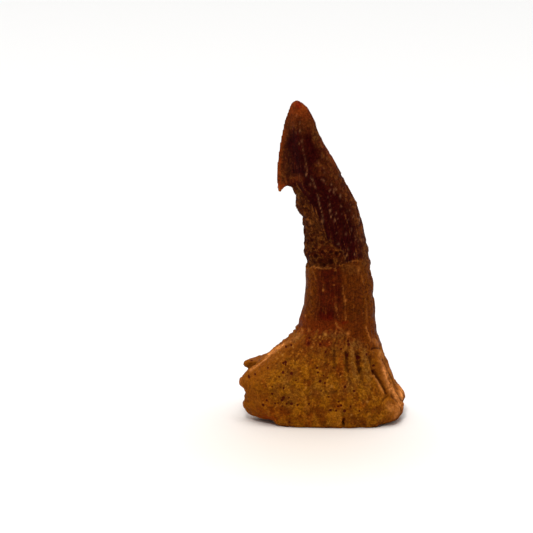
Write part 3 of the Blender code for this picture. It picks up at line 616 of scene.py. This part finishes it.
def hollow_chip(tooth):
    """Hollows of the chipped face, with painted shade inside."""
    for x, z, radius, depth in HOLLOWS:
        away = np.hypot(tooth.wandered_x - x, tooth.wandered_z - z)
        here = tooth.front * bump(away, radius * 0.85)
        tooth.relief -= depth * here
        # painted shade inside the hollow
        tooth.mark("dark", 0.9 * ramp(here, 0.08, 0.55))


def fold_root(tooth):
    """The folds that fan down the root, behind and in front, with painted shade in the grooves. The front
    ridges are olive.
    """
    broken = 0.55 + 0.6 * tooth.uneven
    for line, depth, half_width in BACK_FLUTES:
        here = tooth.back * bump(line_distance(tooth.face, line), half_width)
        tooth.relief -= depth * here * broken
        tooth.mark("shade", depth * 4 * here)
    for line, depth, half_width in FLUTES:
        here = tooth.outside * bump(line_distance(tooth.face, line), half_width)
        tooth.relief -= depth * here * broken
        tooth.mark("shade", depth * 7.5 * here * (1 - 0.4 * tooth.uneven))
        tooth.mark("olive", -depth * 9 * here)


def shape_ends(tooth):
    """The crests, crevices and lobes of the root's two ends. The crevices get painted shade."""
    for line, height, half_width in END_LINES:
        here = bump(line_distance(tooth.points, line), half_width)
        tooth.relief += height * here * (0.65 + 0.5 * tooth.uneven)
        tooth.mark("shade", -height * 4.2 * here * (1 - 0.60 * tooth.uneven))
    for x, y, z, height, radius in END_LOBES:
        away = np.linalg.norm(tooth.points - (x, y, z), axis=1)
        tooth.relief += height * bump(away, radius)


def draw_cracks(tooth):
    """The pale cracks and seams, and the hairline, which wanders less."""
    for line, half_width, strength in PALE_CRACKS:
        here = tooth.front * bump(line_distance(tooth.face, line), half_width * 0.7)
        tooth.relief += CRACK_HEIGHT * here
        tooth.mark("pale", 0.8 * strength * here * (0.3 + 0.7 * tooth.uneven))
    near_face = 0.7 * tooth.points[:, [0, 2]] + 0.3 * tooth.face
    for line, strength in HAIRLINES:
        here = tooth.front * bump(line_distance(near_face, line), HAIRLINE_HALF_WIDTH)
        tooth.relief += HAIRLINE_HEIGHT * here
        tooth.mark("pale", strength * here * ramp(tooth.grain["fine"], -0.5, 0.2))


def fleck_front(tooth):
    """The front's pale flecks, partly painted glints, a little proud of the surface."""
    for x, z, radius, strength in FLECKS_AND_GLINTS:
        squash, brightness = (0.45, 0.55) if z > LONG_FLECKS_ABOVE else (0.9, 1.0)
        away = np.hypot(tooth.wandered_x - x, (tooth.wandered_z - z) * squash)
        here = tooth.outside * bump(away, radius * 0.5)
        tooth.relief += FLECK_HEIGHT * here
        # pale flecks, partly painted glints
        tooth.mark("pale", brightness * strength * here)


def open_pores(tooth):
    """The front's pores at their places, and random ones on the root's sides, back and underside."""
    for x, z, radius in PORES:
        away = np.hypot(tooth.x - x, tooth.z - z) / radius
        tooth.pits = np.maximum(tooth.pits, radius * PORE_DEPTH * tooth.outside * bump(away, 0.7))
        tooth.mark("pores", tooth.outside * (1 - away / PORE_SLOPE))
    hidden = np.flatnonzero((tooth.front < 0.3) & (tooth.zones["root"] > 0.6))
    for i in tooth.random.choice(hidden, HIDDEN_PORES, replace=False):
        radius = tooth.random.uniform(*HIDDEN_PORE_RADII)
        away = np.linalg.norm(tooth.points - tooth.points[i], axis=1) / radius
        tooth.pits = np.maximum(tooth.pits, radius * PORE_DEPTH * bump(away, 0.8))
        tooth.mark("pores", 1 - away / PORE_SLOPE)


def fleck_enamel(tooth):
    """Small random flecks on the enamel's sides and back, and on the front of the shaft."""
    enamel = tooth.zones["enamel"] > 0.6
    hidden = np.flatnonzero((tooth.front < 0.3) & enamel)
    middle = (tooth.across > 0.45) & (tooth.across < 0.9)
    shaft = np.flatnonzero((tooth.front > 0.7) & enamel & middle & (tooth.z < 28))
    hidden_flecks = tooth.random.choice(hidden, HIDDEN_FLECKS, replace=False)
    shaft_flecks = tooth.random.choice(shaft, SHAFT_FLECKS, replace=False)
    for i in np.concatenate([hidden_flecks, shaft_flecks]):
        sideways = np.hypot(tooth.wandered_x - tooth.x[i], tooth.y - tooth.y[i])
        away = np.hypot(sideways, (tooth.wandered_z - tooth.z[i]) * 0.6)
        here = bump(away, tooth.random.uniform(*SMALL_FLECK_RADII))
        tooth.mark("pale", tooth.random.uniform(*SMALL_FLECK_STRENGTHS) * here)


def tint_patches(tooth):
    """Soft patches of colour on the front, with ragged edges."""
    kinds = (
        ("red", RED_PATCHES, RED_FADE),
        ("olive", OLIVE_PATCHES, OLIVE_FADE),
        ("brown", BROWN_PATCHES, BROWN_FADE),
    )
    for name, patches, (rough_share, fine_share, end, full) in kinds:
        for x, z, half_width, half_height, strength in patches:
            away = np.hypot((tooth.x - x) / half_width, (tooth.z - z) / half_height)
            away = away + rough_share * tooth.grain["rough"] + fine_share * tooth.grain["fine"]
            tooth.mark(name, strength * tooth.front * ramp(away, end, full))


def raise_seams(tooth):
    """The seam where the neck meets the root, and the lip on the ledge, which is pale behind."""
    seam = bump(tooth.z - line_height(COLLAR, tooth.x) - 0.16 * tooth.grain["rough"], 0.13)
    tooth.relief += SEAM_HEIGHT * seam * tooth.uneven
    lip = bump(tooth.z - tooth.ledge + 0.06, 0.06) * ramp(tooth.from_leading, 0.1, 0.8)
    tooth.relief += LIP_HEIGHT * lip
    tooth.masks["pale"] += np.where(tooth.front > 0.5, 0.0, 0.3) * lip * tooth.uneven


def highlight_crests(tooth):
    """The crests that catch the light, given a painted highlight."""
    for line, half_width, strength in HIGHLIT_CRESTS:
        here = tooth.unhidden * bump(line_distance(tooth.points, line), half_width)
        tooth.mark("highlight", strength * here)
    tooth.masks["highlight"] *= 0.85 + 0.4 * tooth.grain["rough"]


def finish_rim(tooth):
    """The relief dies away at the floor, where the rim has painted shade along its foot and a cleft in front
    with painted shade inside.
    """
    tooth.relief *= 0.15 + 0.85 * ramp(tooth.z, 0.02, 0.25)
    pushed = tooth.points + 0.6 * (tooth.wandered_x - tooth.x)[:, None]
    cleft = tooth.outside * bump(line_distance(pushed, CLEFT), CLEFT_HALF_WIDTH)
    tooth.relief -= CLEFT_DEPTH * cleft
    # painted shade inside the cleft
    tooth.mark("dark", cleft)
    # painted shade along the foot of the rim, where it meets the floor
    rim = ramp(tooth.z, 0.25, 0.0) * (1 - ramp(-tooth.normals[:, 2], 0.5, 0.9))
    tooth.mark("shade", 0.5 * rim * (0.6 + 0.6 * tooth.uneven))


def colour_enamel(tooth):
    """Where the enamel gets a painted glow, for light through it where it is thin, and where it is brown."""
    z, rough = tooth.z, tooth.grain["rough"]
    tip = ramp(z, 30.6, 33.2)
    barb = ramp(tooth.from_barb, 1.0, 0.3)
    carina = ramp(tooth.from_barbed, 0.55, 0.10) * ramp(z, 31.5, 28.5) * ramp(z, 23.6, 24.2)
    leading = ramp(tooth.from_leading, 0.6, 0.1) * bump(z - 27.9, 1.1)
    barb_rim = tooth.front * bump(line_distance(tooth.face, BARB_RIM), 0.30)
    glow = 0.8 * tip + 0.6 * barb + 0.7 * carina + 0.4 * leading + 0.18 * barb_rim
    tooth.mark("glow", tooth.zones["enamel"] * np.clip(glow * (1 + 0.4 * rough), 0, 1))
    inner = np.interp(z, [22.0, 27.0], [0.76, 0.66])
    near_edge = np.maximum(ramp(tooth.across, 0.22, 0.05), ramp(tooth.across, inner, 0.96))
    tooth.mark("brown", near_edge * 0.9 + ramp(z, 29.4, 31.4) + 0.25 * rough)


# The pores come before the enamel's flecks, because both draw from the same random numbers.
STEPS = (
    roughen, nick_edges, hollow_chip, fold_root, shape_ends, draw_cracks, fleck_front, open_pores,
    fleck_enamel, tint_patches, raise_seams, highlight_crests, finish_rim, colour_enamel,
)


def weather(mesh):
    """Works the surface's relief into the mesh and returns the masks that its material reads."""
    tooth = Surface(mesh)
    for step in STEPS:
        step(tooth)
    points = tooth.points + (tooth.relief - tooth.pits)[:, None] * tooth.normals
    points[:, 2] = np.maximum(points[:, 2], 0.0)
    write_points(mesh, points)

    even = relax(tooth.relief[:, None], tooth.edges, 14, 0.5, 0.5)[:, 0]
    masks = dict(tooth.masks)
    masks["proud"] = 0.5 + 0.5 * ((tooth.relief - even) / CREST_HEIGHT)
    for name in ("streaks", "hairs"):
        masks[name] = 0.5 + 0.5 * tooth.grain[name]
    masks = {name: np.clip(values, 0, 1) for name, values in masks.items()}
    zones = {name: tooth.zones[name] for name in ("enamel", "chip", "root")}
    return {**masks, **zones, "across": tooth.across, "height": tooth.z / HEIGHT}


def paint(colour):
    """A colour given in the usual 0 to 255, as the shader's linear values."""
    channels = [value / 255 for value in colour]
    linear = [c / 12.92 if c <= 0.04045 else ((c + 0.055) / 1.055) ** 2.4 for c in channels]
    return (*linear, 1.0)


class Nodes:
    """Short names for making shader nodes."""

    def __init__(self, tree):
        self.tree = tree
        self.object_space = tree.nodes.new("ShaderNodeTexCoord").outputs["Object"]
        self.made = {}

    def put(self, socket, value):
        if isinstance(value, bpy.types.NodeSocket):
            self.tree.links.new(value, socket)
        else:
            socket.default_value = value

    def read(self, name):
        """The noise or mask of this name, which is made once."""
        if name not in self.made:
            self.made[name] = self.noise(*SHADER_GRAINS[name]) if name in SHADER_GRAINS else self.mask(name)
        return self.made[name]

    def mask(self, name):
        node = self.tree.nodes.new("ShaderNodeAttribute")
        node.attribute_name = name
        return node.outputs["Fac"]

    def noise(self, size, detail, roughness, stretch):
        """Noise from 0 to 1 with grains of this size in millimetres."""
        mapping = self.tree.nodes.new("ShaderNodeMapping")
        self.put(mapping.inputs["Vector"], self.object_space)
        mapping.inputs["Scale"].default_value = stretch
        node = self.tree.nodes.new("ShaderNodeTexNoise")
        self.put(node.inputs["Vector"], mapping.outputs["Vector"])
        node.inputs["Scale"].default_value = 1 / (size * MM)
        node.inputs["Detail"].default_value = detail
        node.inputs["Roughness"].default_value = roughness
        return node.outputs["Fac"]

    def fit(self, value, low, high, to_low=0.0, to_high=1.0):
        """The value at low becomes to_low and at high to_high, and is smooth in between."""
        node = self.tree.nodes.new("ShaderNodeMapRange")
        node.interpolation_type = "SMOOTHSTEP"
        for name, number in (
            ("Value", value), ("From Min", low), ("From Max", high), ("To Min", to_low), ("To Max", to_high),
        ):
            self.put(node.inputs[name], number)
        return node.outputs["Result"]

    def math(self, operation, a, b):
        node = self.tree.nodes.new("ShaderNodeMath")
        node.operation = operation
        self.put(node.inputs[0], a)
        self.put(node.inputs[1], b)
        return node.outputs[0]

    def times(self, a, b):
        return self.math("MULTIPLY", a, b)

    def scale(self, colour, amount):
        """The colour made brighter or darker by this factor."""
        node = self.tree.nodes.new("ShaderNodeVectorMath")
        node.operation = "SCALE"
        self.put(node.inputs[0], colour)
        self.put(node.inputs["Scale"], amount)
        return node.outputs["Vector"]

    def mix(self, factor, a, b, blend="MIX"):
        node = self.tree.nodes.new("ShaderNodeMix")
        node.data_type = "RGBA"
        node.blend_type = blend
        self.put(node.inputs["Factor"], factor)
        self.put(node.inputs["A"], a)
        self.put(node.inputs["B"], b)
        return node.outputs["Result"]

    def layers(self, colour, rows):
        """Lays the colours of the rows over a ground, one after the other."""
        for name, start, full, most, tint in rows:
            colour = self.mix(self.fit(self.read(name), start, full, 0.0, most), colour, paint(tint))
        return colour


def enamel_colour(n):
    """Very dark maroon, a mottled brown near its edges, and a painted orange glow where it is thin."""
    brown, mottle = n.read("brown"), n.read("mottle")
    colour = n.layers(paint(ENAMEL), ENAMEL_LAYERS)
    colour = n.mix(n.times(brown, n.fit(mottle, 0.34, 0.60, 0.30, 1.0)), colour, paint(ENAMEL_EDGE))
    spots = n.times(n.fit(n.read("blotch"), 0.50, 0.64), n.fit(brown, 0.1, 0.8, 0.02, 0.55))
    spots = n.times(spots, n.fit(n.read("height"), 0.90, 0.94, 1.0, 0.3))
    colour = n.mix(spots, colour, paint(ENAMEL_SPOT))
    dashes = n.times(n.fit(n.read("dash"), 0.56, 0.70), n.fit(n.read("streaks"), 0.50, 0.72, 0.0, 0.5))
    colour = n.mix(dashes, colour, paint(ENAMEL_DASH))
    # painted glow of light through the thin enamel
    glow = n.times(n.read("glow"), n.fit(mottle, 0.25, 0.6, 0.55, 1.0))
    return n.mix(glow, colour, paint(PAINTED_GLOW))


def neck_colour(n):
    """Red brown in the middle, olive and orange brown towards both edges, and redder at its foot."""
    across = n.read("across")
    edges = n.math("MAXIMUM", n.fit(across, 0.24, 0.07), n.fit(across, 0.47, 0.58, 0.0, 0.55))
    edges = n.math("MAXIMUM", edges, n.fit(across, 0.70, 0.88))
    colour = n.layers(n.mix(edges, paint(NECK_MIDDLE), paint(NECK_EDGES)), NECK_LAYERS)
    foot = n.times(n.fit(n.read("height"), 0.345, 0.315, 0.0, 0.6), n.fit(across, 0.70, 0.50, 0.25, 1.0))
    return n.mix(foot, colour, paint(NECK_FOOT))


def root_colour(n, ends):
    """Granular ochre at the middle and smoother orange at both ends, rusty by the neck."""
    mottle = n.read("mottle")
    colour = n.layers(paint(ROOT), ROOT_GROUND)
    rust = n.times(n.fit(n.read("height"), 0.18, 0.27), n.fit(mottle, 0.30, 0.56, 0.55, 1.0))
    colour = n.layers(n.mix(rust, colour, paint(ROOT_RUST)), ROOT_GRAINS_AND_GLINTS)
    colour = n.layers(n.scale(colour, n.fit(mottle, 0.36, 0.64, 0.86, 1.14)), ROOT_TINTS)
    return n.mix(n.times(ends, 0.75), colour, paint(ROOT_ENDS))


def tinted(n, colour):
    """The colour with its olive and red patches, painted shade in its crevices and painted highlights on its
    crests.
    """
    olive = n.times(n.read("olive"), n.fit(n.read("speckle"), 0.40, 0.60, 0.25, 1.0))
    colour = n.mix(olive, colour, n.mix(n.read("root"), paint(OLIVE), paint(ROOT_OLIVE)))
    colour = n.mix(n.read("red"), colour, RED_TINT, "MULTIPLY")
    # painted shade in the grooves and crevices and along the foot of the rim
    colour = n.mix(n.times(n.read("shade"), 0.8), colour, paint(PAINTED_SHADE))
    # painted highlight on the crests that catch the light
    highlight = n.times(n.read("highlight"), n.fit(n.read("blotch"), 0.40, 0.54, 0.42, 1.0))
    return n.mix(highlight, colour, paint(CREST_HIGHLIGHT))


def shaded_by_relief(n, colour):
    """The colour with painted shade where the relief lies low and a painted highlight where it stands proud.
    """
    proud = n.read("proud")
    crisp_chip = n.fit(n.read("chip"), 0.0, 1.0, 1.0, 0.6)
    crispness = n.times(crisp_chip, n.fit(n.read("root"), 0.0, 1.0, 1.0, 0.55))
    # painted shade where the relief lies below its evened surface
    hollow = n.times(crispness, n.fit(proud, 0.38, 0.02, 0.0, 0.6))
    colour = n.mix(hollow, colour, paint(RELIEF_SHADE))
    # painted highlight where the relief stands proud
    crest = n.times(crispness, n.fit(proud, 0.62, 0.98, 0.0, 0.35))
    return n.mix(crest, colour, paint(RELIEF_HIGHLIGHT))


def speckled(n, colour, ends):
    """The colour with fine light and dark specks, fainter at the root's smooth ends."""
    share = n.fit(ends, 0.0, 1.0, 1.0, 0.6)
    light = n.fit(n.read("speckle"), 0.36, 0.64, 0.76, 1.28)
    light = n.times(light, n.fit(n.read("grit"), 0.36, 0.64, 0.80, 1.22))
    return n.scale(colour, n.math("ADD", n.times(light, share), n.math("SUBTRACT", 1.0, share)))


def marked(n, colour):
    """The colour with its pale flecks, partly painted glints, and its cracks, painted shade in its hollows
    and cleft, and its pores.
    """
    pale = n.mix(n.read("enamel"), paint(PALE_MARK), paint(PALE_ENAMEL_MARK))
    pale = n.mix(n.read("root"), pale, paint(PALE_ROOT_MARK))
    colour = n.mix(n.read("pale"), colour, pale)
    # painted shade in the hollows and the cleft
    colour = n.mix(n.read("dark"), colour, paint(HOLLOW_SHADE))
    return n.mix(n.fit(n.read("pores"), 0.44, 0.62, 0.0, 0.95), colour, paint(INSIDE_PORE))


def fine_bump(n, dull):
    """The finest grain, as a bump that is weaker on the enamel and the neck."""
    grains = n.math("ADD", n.read("speckle"), n.times(n.read("grit"), 0.7))
    grains = n.times(grains, n.fit(dull, 0.0, 1.0, 0.35, 1.0))
    node = n.tree.nodes.new("ShaderNodeBump")
    node.inputs["Strength"].default_value = BUMP_STRENGTH
    node.inputs["Distance"].default_value = BUMP_DEPTH * MM
    n.put(node.inputs["Height"], n.math("ADD", grains, n.times(n.read("dust"), 0.2)))
    return node.outputs["Normal"]


def tooth_material():
    """The fossil's colours, zone by zone, then what lies over all of them."""
    material = bpy.data.materials.new("fossil_tooth_surface")
    material.use_nodes = True
    shader = material.node_tree.nodes["Principled BSDF"]
    n = Nodes(material.node_tree)
    across, root, chip = n.read("across"), n.read("root"), n.read("chip")
    ends = n.times(root, n.math("MAXIMUM", n.fit(across, 0.22, 0.03), n.fit(across, 0.82, 0.95)))

    colour = n.mix(n.read("enamel"), neck_colour(n), enamel_colour(n))
    colour = n.mix(chip, colour, n.layers(paint(CHIP), CHIP_LAYERS))
    colour = n.mix(root, colour, root_colour(n, ends))
    colour = shaded_by_relief(n, tinted(n, colour))
    n.put(shader.inputs["Base Color"], marked(n, speckled(n, colour, ends)))

    dull = n.math("MAXIMUM", root, chip)
    speckle = n.fit(n.read("speckle"), 0.3, 0.7, -0.08, 0.10)
    n.put(shader.inputs["Roughness"], n.math("ADD", n.fit(dull, 0.0, 1.0, 0.36, 0.56), speckle))
    shader.inputs["Specular IOR Level"].default_value = SHEEN
    n.put(shader.inputs["Normal"], fine_bump(n, dull))
    return material


def make_tooth(node):
    mesh = dense_copy(node)
    masks = weather(mesh)
    for name, values in masks.items():
        layer = mesh.attributes.new(name, "FLOAT", "POINT")
        layer.data.foreach_set("value", values.astype(np.float32))
    mesh.transform(Matrix.Scale(MM, 4))
    mesh.shade_smooth()
    mesh.materials.clear()
    mesh.materials.append(tooth_material())
    tooth = bpy.data.objects.new("tooth_surface", mesh)
    bpy.context.scene.collection.objects.link(tooth)
    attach(tooth, "root")
    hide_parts("rostral_tooth")


def paper_material():
    """White paper, with a painted warm bounce light and a painted shadow about the tooth."""
    material = bpy.data.materials.new("pale_paper")
    material.use_nodes = True
    shader = material.node_tree.nodes["Principled BSDF"]
    n = Nodes(material.node_tree)
    reach = n.tree.nodes.new("ShaderNodeVectorMath")
    reach.operation = "DISTANCE"
    n.put(reach.inputs[0], n.object_space)
    n.put(reach.inputs[1], WARM_PLACE)
    whiteness = n.fit(reach.outputs["Value"], 0.0, WARM_REACH)
    # painted warm bounce light and painted shadow about the tooth
    n.put(shader.inputs["Base Color"], n.mix(whiteness, PAINTED_BOUNCE_AND_SHADOW, WHITE_PAPER))
    shader.inputs["Roughness"].default_value = PAPER_ROUGHNESS
    shader.inputs["Specular IOR Level"].default_value = PAPER_SHEEN
    return material


def make_floor():
    work = bmesh.new()
    bmesh.ops.create_grid(work, x_segments=8, y_segments=8, size=FLOOR_REACH)
    mesh = bpy.data.meshes.new("floor")
    work.to_mesh(mesh)
    work.free()
    floor = bpy.data.objects.new("floor", mesh)
    bpy.context.scene.collection.objects.link(floor)
    mesh.materials.append(paper_material())


def make_light(name, position, target, size, power):
    lamp = bpy.data.lights.new(name, "AREA")
    lamp.shape = "DISK"
    lamp.size = size
    lamp.energy = power
    light = bpy.data.objects.new(name, lamp)
    light.location = position
    light.rotation_euler = (Vector(target) - Vector(position)).to_track_quat("-Z", "Y").to_euler()
    bpy.context.scene.collection.objects.link(light)


def make_world():
    """A pale studio: white behind and above the part, and a dimmer room in front of it."""
    world = bpy.data.worlds.new("studio")
    world.use_nodes = True
    tree = world.node_tree
    n = Nodes(tree)
    direction = tree.nodes.new("ShaderNodeSeparateXYZ")
    tree.links.new(tree.nodes.new("ShaderNodeTexCoord").outputs["Generated"], direction.inputs["Vector"])
    room = n.fit(direction.outputs["Y"], -0.8, 0.5, ROOM_LIGHT, STUDIO_LIGHT)
    seen = tree.nodes.new("ShaderNodeLightPath").outputs["Is Camera Ray"]
    shader = tree.nodes["Background"]
    shader.inputs["Color"].default_value = (1.0, 1.0, 1.0, 1.0)
    n.put(shader.inputs["Strength"], n.math("MAXIMUM", room, seen))
    bpy.context.scene.world = world


def make_camera():
    """The camera of a close view, from a little above and level with the tooth's front."""
    pitch, roll = radians(CAMERA_PITCH), radians(CAMERA_ROLL)
    right = Vector((1.0, 0.0, 0.0))
    above = Vector((0.0, sin(pitch), cos(pitch)))
    back = Vector((0.0, -cos(pitch), sin(pitch)))
    turned_right = cos(roll) * right + sin(roll) * above
    turned_up = cos(roll) * above - sin(roll) * right
    data = bpy.data.cameras.new("camera")
    data.sensor_width = CAMERA_SENSOR
    data.lens = CAMERA_LENS
    data.clip_start = NEAREST_SEEN
    camera = bpy.data.objects.new("camera", data)
    rotation = Matrix((turned_right, turned_up, back)).transposed()
    camera.matrix_world = Matrix.Translation(Vector(CAMERA_PLACE) * MM) @ rotation.to_4x4()
    bpy.context.scene.collection.objects.link(camera)
    bpy.context.scene.camera = camera


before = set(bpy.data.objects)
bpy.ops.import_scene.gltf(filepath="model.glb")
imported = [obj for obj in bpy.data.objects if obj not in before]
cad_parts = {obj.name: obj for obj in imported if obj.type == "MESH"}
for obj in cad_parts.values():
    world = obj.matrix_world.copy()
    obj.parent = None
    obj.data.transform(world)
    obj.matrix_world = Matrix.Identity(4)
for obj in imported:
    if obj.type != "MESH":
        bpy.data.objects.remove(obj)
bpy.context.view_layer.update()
bpy.context.scene.view_settings.view_transform = "Standard"
make_camera()
make_world()
for lamp in LAMPS:
    make_light(*lamp)
make_floor()
make_tooth(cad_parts["rostral_tooth"])
